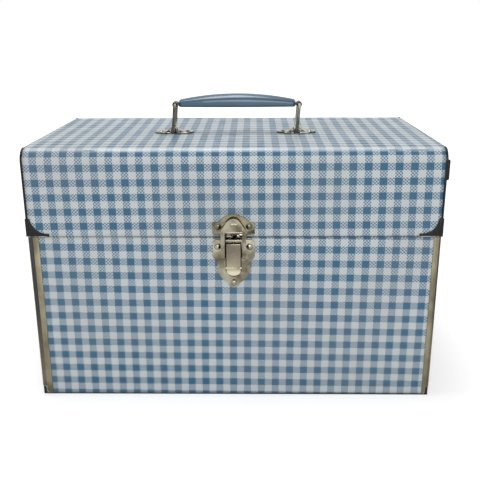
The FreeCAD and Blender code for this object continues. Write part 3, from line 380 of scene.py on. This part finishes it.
def cotton(name, base, other):
    """Plain cotton: a fine over-and-under weave, faintly uneven dye, a soft sheen."""
    shader = Shader(name, Roughness=0.85, Sheen_Weight=0.25, Sheen_Roughness=0.5)
    x, y = shader.split(shader.place())[:2]
    thread = 0.8            # from one thread to the next but one
    turns = 2 * math.pi / (thread * MM)
    waves = [shader.math("SINE", shader.math("MULTIPLY", value, turns)) for value in (x, y)]
    weave = shader.math("MULTIPLY", *waves)
    dye = shader.step(shader.noise(30.0, 5.0), 0.3, 0.7)
    tone = shader.mix(dye, base, other)
    shader.colour(shader.mix(shader.step(weave, -1.0, 1.0, 0.12, 0.0), tone, rgba(110, 128, 145)))
    shader.bump(weave, 0.12, 0.6)
    return shader.material


def plastic(name, base, shaded, rough, coat):
    """Moulded plastic: slow colour drift and a faint orange-peel surface."""
    shader = Shader(name, Coat_Weight=coat, Coat_Roughness=0.05)
    shader.colour(shader.mix(shader.step(shader.noise(26.0, 4.0), 0.35, 0.7), base, shaded))
    shader.roughness(shader.step(shader.noise(120.0), 0.3, 0.7, rough, rough + 0.08))
    shader.bump(shader.noise(320.0, 2.0), 0.05, 0.25)
    return shader.material


MATERIALS = {
    "gingham_vinyl": gingham(),
    "black_vinyl": grained_black("black_vinyl", rgba(13, 13, 14), 0.26, 700.0, 0.05).material,
    "black_metal": guard_black(),
    "nickel": metal("nickel", rgba(160, 155, 139), rgba(88, 82, 65), 0.14).material,
    "wire_nickel": metal("wire_nickel", rgba(112, 109, 100), rgba(66, 64, 57), 0.16).material,
    "lever_nickel": lever_nickel(),
    "hook_nickel": hook_nickel(),
    "strike_nickel": metal("strike_nickel", rgba(124, 117, 97), rgba(56, 49, 35), 0.14,
                           patches=90.0).material,
    "hasp_nickel": metal("hasp_nickel", rgba(142, 137, 121), rgba(92, 85, 67), 0.13, patches=110.0).material,
    "foot_nickel": metal("foot_nickel", rgba(150, 146, 132), rgba(44, 42, 37), 0.12, patches=330.0).material,
    "dark_nickel": metal("dark_nickel", rgba(74, 72, 67), rgba(44, 42, 38), 0.2).material,
    "edging_metal": edging(),
    "steel": metal("steel", rgba(196, 196, 194), rgba(160, 160, 158), 0.28, (1.0, 6.0, 6.0)).material,
    "wood": wood(),
    "quilted_lining": cotton("quilted_cotton", rgba(206, 217, 226), rgba(190, 204, 216)),
    "tray_plastic": plastic("tray_plastic", rgba(232, 224, 202), rgba(221, 212, 187), 0.3, 0.15),
    "blue_grip": plastic("blue_grip", rgba(38, 80, 106), rgba(30, 68, 92), 0.3, 0.35),
}


def finish_with(obj, material_name):
    """Gives the object one of the MATERIALS and no other."""
    obj.data.materials.clear()
    obj.data.materials.append(MATERIALS[material_name])


# ---- mesh helpers ----
def add_object(name, mesh, slot_name, body, *stands_for, finish=None):
    """Puts a new piece in the scene, on its body.

    Its material is the slot's own, or the variant named by finish."""
    obj = bpy.data.objects.new(name, mesh)
    bpy.context.scene.collection.objects.link(obj)
    finish_with(obj, finish or slot_name)
    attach(obj, body)
    if stands_for:
        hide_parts(*stands_for)
    return obj


def smooth(mesh, sharp_degrees=35.0):
    """Smooth shading, with edges that bend by more than this left sharp."""
    mesh.shade_smooth()
    mesh.set_sharp_from_angle(angle=math.radians(sharp_degrees))


def grid(name, rows, columns, point, check=None, wrap=False):
    """A mesh of rows by columns of points in millimetres, with UVs if check gives them."""
    bm = bmesh.new()
    layer = bm.loops.layers.uv.new("UVMap") if check else None
    verts = [[bm.verts.new(Vector(point(i, j)) * MM) for j in range(columns)] for i in range(rows)]
    last = rows if wrap else rows - 1
    for i in range(last):
        for j in range(columns - 1):
            spots = ((i, j), (i, j + 1), ((i + 1) % rows, j + 1), ((i + 1) % rows, j))
            quad = bm.faces.new([verts[a][b] for a, b in spots])
            if check:
                for loop, (a, b) in zip(quad.loops, spots):
                    loop[layer].uv = check(a, b)
    if wrap:
        for j in (0, columns - 1):
            bm.faces.new([verts[i][j] for i in range(rows)])
    bmesh.ops.recalc_face_normals(bm, faces=bm.faces)
    mesh = bpy.data.meshes.new(name)
    bm.to_mesh(mesh)
    bm.free()
    smooth(mesh)
    return mesh


def face_outwards(mesh, centre):
    """Turns an open sheet so that its normals point away from this point."""
    middle = mesh.polygons[len(mesh.polygons) // 2]
    if middle.normal.dot(middle.center - Vector(centre) * MM) < 0:
        mesh.flip_normals()


def thicken(obj, thickness):
    """Makes a sheet this thick, inwards from its outer face."""
    solid = obj.modifiers.new("thickness", "SOLIDIFY")
    solid.thickness = thickness * MM
    solid.offset = -1.0


def extruded(name, outline, x0, x1, steps=1):
    """A closed bar along X with this outline, a list of (y, z)."""
    def point(i, j):
        y, z = outline[i]
        return x0 + (x1 - x0) * j / steps, y, z
    return grid(name, len(outline), steps + 1, point, wrap=True)


def ribbon(path, thickness):
    """The closed outline of a strip bent along this path of (y, z) points."""
    points = [Vector(p) for p in path]
    one, other = [], []
    for k, here in enumerate(points):
        along = (points[min(k + 1, len(points) - 1)] - points[max(k - 1, 0)]).normalized()
        across = Vector((-along.y, along.x)) * thickness / 2
        one.append(tuple(here + across))
        other.append(tuple(here - across))
    return one + other[::-1]


def softened(node, slot_name, width, segments=2, sharp=28.0, finish=None):
    """Stands for a CAD node with the same shape and rounded edges, as pressed or moulded pieces have."""
    source = frame["nodes"][node]
    mesh = source.data.copy()
    bm = bmesh.new()
    bm.from_mesh(mesh)
    bmesh.ops.remove_doubles(bm, verts=bm.verts, dist=0.002 * MM)
    bmesh.ops.dissolve_limit(bm, angle_limit=math.radians(0.6), verts=bm.verts, edges=bm.edges)
    limit = math.radians(sharp)
    edges = [e for e in bm.edges if e.is_manifold and e.calc_face_angle(0.0) > limit]
    bmesh.ops.bevel(bm, geom=edges, offset=width * MM, segments=segments, profile=0.5,
                    affect="EDGES", clamp_overlap=True)
    bmesh.ops.remove_doubles(bm, verts=bm.verts, dist=0.001 * MM)
    bm.to_mesh(mesh)
    bm.free()
    if "custom_normal" in mesh.attributes:
        mesh.attributes.remove(mesh.attributes["custom_normal"])
    mesh.name = node + "_look"
    smooth(mesh)
    return add_object(node + "_look", mesh, slot_name, source["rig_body"], node, finish=finish)


# ---- gingham covers ----
def wave(x, y, size, height):
    """How far a loosely glued sheet stands off its board, in millimetres."""
    return height * noise.noise(Vector((x / size, y / size, 3.7)))


Spot = namedtuple("Spot", "y z out_y out_z run share")


def lid_path():
    """Spots round the lid, from the front rim over the top to the back rim.

    Each has its place, the direction outwards, the length so far and the share of the top behind it."""
    path = []

    def add(y, z, out_y, out_z, share):
        run = 0.0
        if path:
            run = path[-1].run + math.hypot(y - path[-1].y, z - path[-1].z)
        path.append(Spot(y, z, out_y, out_z, run, share))

    def bend(middle_y, middle_z, radius, start, steps, share):
        """A quarter of a circle, from start in degrees."""
        for k in range(1, steps + 1):
            turn = math.radians(start - 90 * k / steps)
            out_y, out_z = math.cos(turn), math.sin(turn)
            add(middle_y + radius * out_y, middle_z + radius * out_z, out_y, out_z, share)

    front_y, front_z = FRONT_Y + FRONT_ROUND, LID_TOP - FRONT_ROUND
    back_y, back_z = BACK_Y - BACK_ROUND, LID_TOP - BACK_ROUND
    wall_steps, top_steps = 18, 60
    for k in range(wall_steps + 1):
        add(FRONT_Y, LID_RIM + (front_z - LID_RIM) * k / wall_steps, -1.0, 0.0, 0.0)
    bend(front_y, front_z, FRONT_ROUND, 180, 14, 0.0)
    for k in range(1, top_steps + 1):
        share = k / top_steps
        add(front_y + (back_y - front_y) * share, LID_TOP, 0.0, 1.0, share)
    bend(back_y, back_z, BACK_ROUND, 90, 10, 1.0)
    for k in range(1, wall_steps + 1):
        add(BACK_Y, back_z - (back_z - LID_RIM) * k / wall_steps, 1.0, 0.0, 1.0)
    return path


def make_lid_cover():
    """One sheet up the front, over the top and down the back."""
    path = lid_path()
    columns = 101
    front_run = LID_TOP - FRONT_ROUND - LID_RIM     # length of the flat front
    fan = 0.035             # the columns of checks spread by this share towards the back
    lean, slope = 0.0012, 0.0004    # how much the columns and rows tilt, in repeats for each millimetre

    def across_lid(i, j):
        """The top reaches the lid's ends, and the front and back stop at the black edging."""
        half = LID_HIGH.x - (0.0 if 0.0 < path[i].share < 1.0 else EDGE_WIDTH)
        return half * (2.0 * j / (columns - 1) - 1.0)

    def point(i, j):
        x, spot = across_lid(i, j), path[i]
        rim = min(j, columns - 1 - j, i, len(path) - 1 - i)
        lift = min(1.0, rim / 3) * (wave(x, spot.run, 34.0, 0.22) + wave(x, spot.run, 11.0, 0.07))
        return x, spot.y + spot.out_y * lift, spot.z + spot.out_z * lift

    def check(i, j):
        x, spot = across_lid(i, j), path[i]
        across = x * (1.0 - fan * spot.share) / LID_ACROSS + lean * spot.z + 0.437
        along = LID_RIM / LID_UP_FRONT - 0.394 - slope * x
        along += min(spot.run, front_run) / LID_UP_FRONT
        along += max(0.0, spot.run - front_run) / LID_OVER_TOP
        return across, along

    mesh = grid("lid_cover_look", len(path), columns, point, check)
    face_outwards(mesh, (0, 0, 150))
    obj = add_object("lid_cover_look", mesh, "gingham_vinyl", "lid", "lid_cover")
    thicken(obj, SHEET)


def make_body_cover(name, node, outward):
    """A flat sheet on the body's front or back board."""
    low, high = corners(node)
    rows, columns = 41, 91
    face_y = low.y if outward < 0 else high.y
    lean, slope = 0.0004, 0.001     # how much the columns and rows tilt, in repeats for each millimetre

    def place(i, j):
        return low.x + (high.x - low.x) * j / (columns - 1), low.z + (high.z - low.z) * i / (rows - 1)

    def point(i, j):
        x, z = place(i, j)
        rim = min(j, columns - 1 - j, i, rows - 1 - i)
        lift = min(1.0, rim / 3) * (wave(x, z + 400, 38.0, 0.18) + wave(x, z + 400, 12.0, 0.05))
        return x, face_y + outward * lift, z

    def check(i, j):
        x, z = place(i, j)
        return x / BODY_ACROSS - lean * z - 0.415, z / BODY_UP + slope * x + 0.489

    mesh = grid(name, rows, columns, point, check)
    face_outwards(mesh, (0, 0, 64))
    thicken(add_object(name, mesh, "gingham_vinyl", "body", node), SHEET)


# ---- latch details ----
def smooth_path(points, steps=5):
    """A Catmull-Rom curve through these points."""
    path = []
    for k in range(len(points) - 1):
        before, a, b, after = (Vector(points[n]) for n in
                               (max(k - 1, 0), k, k + 1, min(k + 2, len(points) - 1)))
        for step in range(steps):
            t = step / steps
            path.append(0.5 * (2 * a + (b - before) * t + (2 * before - 5 * a + 4 * b - after) * t * t
                               + (3 * a - before - 3 * b + after) * t ** 3))
    path.append(Vector(points[-1]))
    return path


def pressing(name, body, face_y, centre_z, half_x, half_z, height):
    """A shallow oval pressing that stands out of a plate's front face."""
    rings, around = 9, 40
    bm = bmesh.new()
    loops = []
    for i in range(rings):
        radius = math.cos(math.pi / 2 * i / rings)
        out = height * math.sin(math.pi / 2 * i / rings)
        loops.append([bm.verts.new(Vector((half_x * radius * math.cos(2 * math.pi * j / around),
                                           face_y + 0.05 - out,
                                           centre_z + half_z * radius * math.sin(2 * math.pi * j / around)
                                           )) * MM) for j in range(around)])
    crown = bm.verts.new(Vector((0.0, face_y + 0.05 - height, centre_z)) * MM)
    for i in range(rings - 1):
        for j in range(around):
            k = (j + 1) % around
            bm.faces.new((loops[i][j], loops[i][k], loops[i + 1][k], loops[i + 1][j]))
    for j in range(around):
        bm.faces.new((loops[-1][j], loops[-1][(j + 1) % around], crown))
    bm.faces.new(loops[0])
    bmesh.ops.recalc_face_normals(bm, faces=bm.faces)
    mesh = bpy.data.meshes.new(name)
    bm.to_mesh(mesh)
    bm.free()
    smooth(mesh)
    add_object(name, mesh, "nickel", body, finish="hasp_nickel")


def ring(middle_y, middle_z, radius, count):
    """Points round a circle, seen from the side."""
    turns = [2 * math.pi * k / count for k in range(count)]
    return [(middle_y + radius * math.cos(a), middle_z + radius * math.sin(a)) for a in turns]


def make_latch_details():
    """Curled and pressed parts of the latch that the plain plates leave out."""
    hasp_low, hasp_high = corners("hasp")
    face_y = hasp_low.y
    window = corners("strike_plate")[0].z + 2.1     # upper edge of the hasp's window
    pressing("hasp_pressing", "hasp", face_y, hasp_high.z - 4.6, 3.4, 1.5, 0.45)
    roll = ring(face_y + 0.3, window + 0.45, 0.45, 18)
    add_object("hasp_lip", extruded("hasp_lip", roll, -6.5, 6.5), "nickel", "hasp")
    drop = ((0.1, 0.3), (2.6, 0.1), (4.1, -1.2), (4.3, -2.6), (3.4, -4.2), (2.7, -5.6))
    hook = ribbon(smooth_path([(LATCH_PLATE_Y - out, window + up) for out, up in drop]), 0.7)
    add_object("strike_hook", extruded("strike_hook", hook, -6.2, 6.2, 12), "nickel", "lid",
               finish="hook_nickel")
    for name, middle_z, half in (("lever_top_edge", LEVER_HIGH.z - 0.5, 5.0),
                                 ("lever_crease", LEVER_CREASE_Z, 4.9)):
        edge = ring(LEVER_PLATE_Y + 0.2, middle_z, 0.45, 12)
        add_object(name, extruded(name, edge, -half, half), "nickel", "lever")
    half_turn = [math.radians(15 * k) for k in range(13)]
    for name, body, middle_z in (("strike_lip", "lid", LID_RIM + 1.0), ("base_lip", "body", BASE_TOP + 0.8)):
        lip = [(LATCH_PLATE_Y + LATCH_SHEET - 0.9 * math.sin(a), middle_z + 0.4 * math.cos(a))
               for a in half_turn]
        for side, (x0, x1) in (("left", (-14.9, -9.9)), ("right", (9.9, 14.9))):
            part = name + "_" + side
            add_object(part, extruded(part, lip, x0, x1), "nickel", body)


def make_saddles():
    """Each foot's pressed saddle: it rises from the plate to the bridge over the loop's bar."""
    for side in ("left", "right"):
        low, high = corners("handle_foot_" + side)
        centre_x, centre_y = (low.x + high.x) / 2, (low.y + high.y) / 2
        slope = [(-9.4, 0.75), (-6.4, 1.3), (-3.6, 3.1), (-1.8, 4.6), (0.0, high.z - low.z - 0.25)]
        path = [(-centre_x - x, low.z + z) for x, z in slope]
        path += [(-centre_x + x, low.z + z) for x, z in slope[-2::-1]]
        name = "foot_saddle_" + side
        mesh = extruded(name, ribbon(smooth_path(path), 0.5), centre_y - 3.6, centre_y + 3.6)
        mesh.transform(Matrix.Rotation(math.radians(90.0), 4, "Z"))
        smooth(mesh)
        add_object(name, mesh, "nickel", "lid", finish="foot_nickel")


# ---- handle grip ----
def make_grip():
    """A moulded grip, flat underneath, with an arched, softly crowned top and slimmer ends."""
    low, high = corners("handle_grip")
    middle_y = (low.y + high.y) / 2
    columns = 73
    end_half, mid_half = 4.7, (high.y - low.y) / 2
    end_top = low.z + 5.5
    cap_length, cap_share = 1.4, 0.65       # each end closes in to this share over this length
    # Half of the outline, from the middle of the bottom to the middle of the top,
    # as shares of the half width and of the height.
    side = [(0.0, 0.0), (0.55, 0.0), (0.86, 0.015), (0.965, 0.07), (0.995, 0.2), (1.0, 0.36),
            (0.985, 0.52), (0.93, 0.64), (0.80, 0.76), (0.58, 0.88), (0.3, 0.965), (0.0, 1.0)]
    half = smooth_path(side, 4)
    outline = [(p.x, p.y) for p in half] + [(-p.x, p.y) for p in half[-2:0:-1]]

    def point(i, j):
        share = j / (columns - 1)
        bulge = 1 - (2 * share - 1) ** 2
        near_end = min(share, 1 - share) * (high.x - low.x)
        cap = 1.0
        if near_end <= cap_length:
            opened = math.sqrt(max(0.0, 1 - (1 - near_end / cap_length) ** 2))
            cap = opened * (1 - cap_share) + cap_share
        width = (end_half + (mid_half - end_half) * bulge) * cap
        height = end_top - low.z + (high.z - end_top) * bulge
        out, up = outline[i]
        centre = height * 0.45
        return (low.x + (high.x - low.x) * share, middle_y - out * width,
                low.z + centre + (up * height - centre) * cap)

    mesh = grid("handle_grip_look", len(outline), columns, point, wrap=True)
    smooth(mesh, 60.0)
    add_object("handle_grip_look", mesh, "blue_grip", "grip", "handle_grip")


# ---- quilted pad ----
def make_pad():
    """Wadding between two cottons, sewn in diamonds, with rounded sides that pull in between the corners."""
    low, high = corners("floor_pad")
    rows, columns = 81, 145
    quilt = 26.0            # across a diamond of the quilting
    base = 1.6              # height of the pad's seamed edge
    pull = 1.08             # how far the middle of a side is drawn in

    def shape(i, j):
        a = 2.0 * j / (columns - 1) - 1.0
        b = 2.0 * i / (rows - 1) - 1.0
        x = a * (high.x - pull * (1 - b ** 4))
        y = b * (high.y - pull * (1 - a ** 4))
        inside = min(high.x * (1 - abs(a)), high.y * (1 - abs(b)))
        return x, y, inside

    def top(i, j):
        x, y, inside = shape(i, j)
        seam = min(abs(math.sin(math.pi * (x + y) / quilt)), abs(math.sin(math.pi * (x - y) / quilt)))
        puff = seam ** 0.45
        crown = min(1.0, math.sqrt(max(0.0, inside) / 5.0))
        crease = 0.12 * noise.noise(Vector((x / 4, y / 4, 0.3)))
        height = base + crown * (1.2 + 2.0 * puff + crease)
        return x, y, min(high.z, low.z + height)

    def bottom(i, j):
        x, y, inside = shape(i, j)
        return x, y, low.z + base * (1 - min(1.0, math.sqrt(max(0.0, inside) / 2.5)))

    bm = bmesh.new()
    sheets = [[[bm.verts.new(Vector(side(i, j)) * MM) for j in range(columns)] for i in range(rows)]
              for side in (top, bottom)]
    for sheet in sheets:
        for i in range(rows - 1):
            for j in range(columns - 1):
                bm.faces.new((sheet[i][j], sheet[i][j + 1], sheet[i + 1][j + 1], sheet[i + 1][j]))
    bmesh.ops.remove_doubles(bm, verts=bm.verts, dist=0.02 * MM)
    bmesh.ops.recalc_face_normals(bm, faces=bm.faces)
    mesh = bpy.data.meshes.new("floor_pad_look")
    bm.to_mesh(mesh)
    bm.free()
    smooth(mesh, 80.0)
    pad = add_object("floor_pad_look", mesh, "quilted_lining", "body", "floor_pad")


# ---- assembly of the looks ----
def make_looks():
    make_lid_cover()
    make_body_cover("body_front_cover_look", "body_front_cover", -1.0)
    make_body_cover("body_back_cover_look", "body_back_cover", 1.0)
    softened("latch_base", "nickel", 0.22, 3)
    softened("hasp", "nickel", 0.22, 3, finish="hasp_nickel")
    softened("strike_plate", "nickel", 0.22, 3, finish="strike_nickel")
    softened("latch_lever", "nickel", 0.3, 3, finish="lever_nickel")
    for node in ("handle_foot_left", "handle_foot_right"):
        softened(node, "nickel", 0.2, finish="foot_nickel")
    softened("handle_core", "nickel", 0.2, finish="dark_nickel")
    for node in ("handle_loop_left", "handle_loop_right"):
        softened(node, "nickel", 0.25, finish="wire_nickel")
    for node in ("hinge_leaves_body", "hinge_leaves_lid"):
        softened(node, "nickel", 0.18)
    for node in ("edging_front", "edging_back"):
        softened(node, "edging_metal", 0.16)
    for node in ("corner_guards_front", "corner_guards_back"):
        softened(node, "black_metal", 0.16)
    softened("side_plate", "black_metal", 0.15)
    softened("lid_edging", "black_vinyl", 0.14)
    for node in ("lower_tray", "upper_tray", "lower_tray_dividers", "upper_tray_dividers"):
        softened(node, "tray_plastic", 0.35)
    for node in ("front_arms", "rear_arms", "drive_links"):
        softened(node, "steel", 0.15)
    make_latch_details()
    make_saddles()
    make_grip()
    make_pad()
    slots = {row["node"]: row["material_slot"] for row in frame["record"]["subparts"]}
    for name, obj in frame["nodes"].items():
        finish_with(obj, slots[name])


# ---- stage, lights and camera ----
def shown_rays(tree):
    """1 for camera, glossy and transmission rays, which see the white background; 0 for the rest."""
    ray = tree.nodes.new("ShaderNodeLightPath")
    shown = ray.outputs["Is Camera Ray"]
    for kind in ("Is Glossy Ray", "Is Transmission Ray"):
        total = tree.nodes.new("ShaderNodeMath")
        total.operation = "ADD"
        total.use_clamp = True
        tree.links.new(shown, total.inputs[0])
        tree.links.new(ray.outputs[kind], total.inputs[1])
        shown = total.outputs[0]
    return shown


def ranged(tree, value, low, high, start, end):
    """Goes evenly from start to end as value goes from low to high."""
    node = tree.nodes.new("ShaderNodeMapRange")
    tree.links.new(value, node.inputs["Value"])
    for name, number in (("From Min", low), ("From Max", high), ("To Min", start), ("To Max", end)):
        node.inputs[name].default_value = number
    return node.outputs[0]


def make_stage():
    """A pale floor that looks white but keeps the shadow."""
    mesh = bpy.data.meshes.new("floor")
    far = 30.0              # in metres, like the rest of the stage
    mesh.from_pydata([(-far, -far, 0), (far, -far, 0), (far, far, 0), (-far, far, 0)],
                     [], [(0, 1, 2, 3)])
    floor = bpy.data.objects.new("floor", mesh)
    bpy.context.scene.collection.objects.link(floor)
    material = bpy.data.materials.new("floor_white")
    material.use_nodes = True
    tree = material.node_tree
    bsdf = tree.nodes["Principled BSDF"]
    bsdf.inputs["Base Color"].default_value = (0.8, 0.8, 0.8, 1.0)
    bsdf.inputs["Roughness"].default_value = 0.9
    bsdf.inputs["Specular IOR Level"].default_value = 0.1
    bsdf.inputs["Emission Color"].default_value = (1.0, 1.0, 1.0, 1.0)
    spot = tree.nodes.new("ShaderNodeTexCoord")
    reach = tree.nodes.new("ShaderNodeVectorMath")
    reach.operation = "LENGTH"
    tree.links.new(spot.outputs["Object"], reach.inputs[0])
    glow = tree.nodes.new("ShaderNodeMath")
    glow.operation = "MULTIPLY"
    tree.links.new(shown_rays(tree), glow.inputs[0])
    tree.links.new(ranged(tree, reach.outputs["Value"], 0.3, 1.2, 0.47, 0.85), glow.inputs[1])
    tree.links.new(glow.outputs[0], bsdf.inputs["Emission Strength"])
    floor.data.materials.append(material)


def make_world():
    """White to the camera, in reflections and through glass; a dimmer white lights the object."""
    world = bpy.data.worlds.new("studio")
    bpy.context.scene.world = world
    world.use_nodes = True
    tree = world.node_tree
    tree.nodes.clear()
    background = tree.nodes.new("ShaderNodeBackground")
    background.inputs["Color"].default_value = (1.0, 1.0, 1.0, 1.0)
    tree.links.new(ranged(tree, shown_rays(tree), 0.0, 1.0, 0.42, 1.0), background.inputs["Strength"])
    output = tree.nodes.new("ShaderNodeOutputWorld")
    tree.links.new(background.outputs[0], output.inputs["Surface"])


def add_lamp(name, place, target, size, watts):
    """A rectangular soft light at this place, in metres, that faces the target."""
    lamp = bpy.data.lights.new(name, "AREA")
    lamp.shape = "RECTANGLE"
    lamp.size, lamp.size_y = size
    lamp.energy = watts
    obj = bpy.data.objects.new(name, lamp)
    bpy.context.scene.collection.objects.link(obj)
    obj.location = place
    obj.rotation_euler = (Vector(target) - Vector(place)).to_track_quat("-Z", "Y").to_euler()


def make_lamps():
    """One soft light above the object and one in front of it."""
    add_lamp("overhead", (-0.1, 0.1, 1.25), (0, 0, 0.15), (0.6, 0.4), 6.5)
    add_lamp("front", (0.1, -1.35, 0.55), (0, 0, 0.1), (0.9, 0.6), 9.0)


def make_camera():
    """The photograph's angle, from a fit to the box's outline."""
    yaw, pitch, roll = (math.radians(v) for v in (-0.985, 17.564, -0.317))
    place = (0.01277, -0.55997, 0.27599)
    forward = Vector((math.sin(yaw) * math.cos(pitch), math.cos(yaw) * math.cos(pitch), -math.sin(pitch)))
    right = Vector((math.cos(yaw), -math.sin(yaw), 0.0))
    up = right.cross(forward)
    tilted_right = math.cos(roll) * right + math.sin(roll) * up
    tilted_up = math.cos(roll) * up - math.sin(roll) * right
    data = bpy.data.cameras.new("camera")
    data.sensor_width = 36.0
    data.lens = 51.48
    camera = bpy.data.objects.new("camera", data)
    bpy.context.scene.collection.objects.link(camera)
    turn = Matrix((tilted_right, tilted_up, -forward)).transposed().to_4x4()
    camera.matrix_world = Matrix.Translation(place) @ turn
    bpy.context.scene.camera = camera


make_looks()
make_stage()
make_world()
make_lamps()
make_camera()
bpy.context.scene.view_settings.view_transform = "Standard"
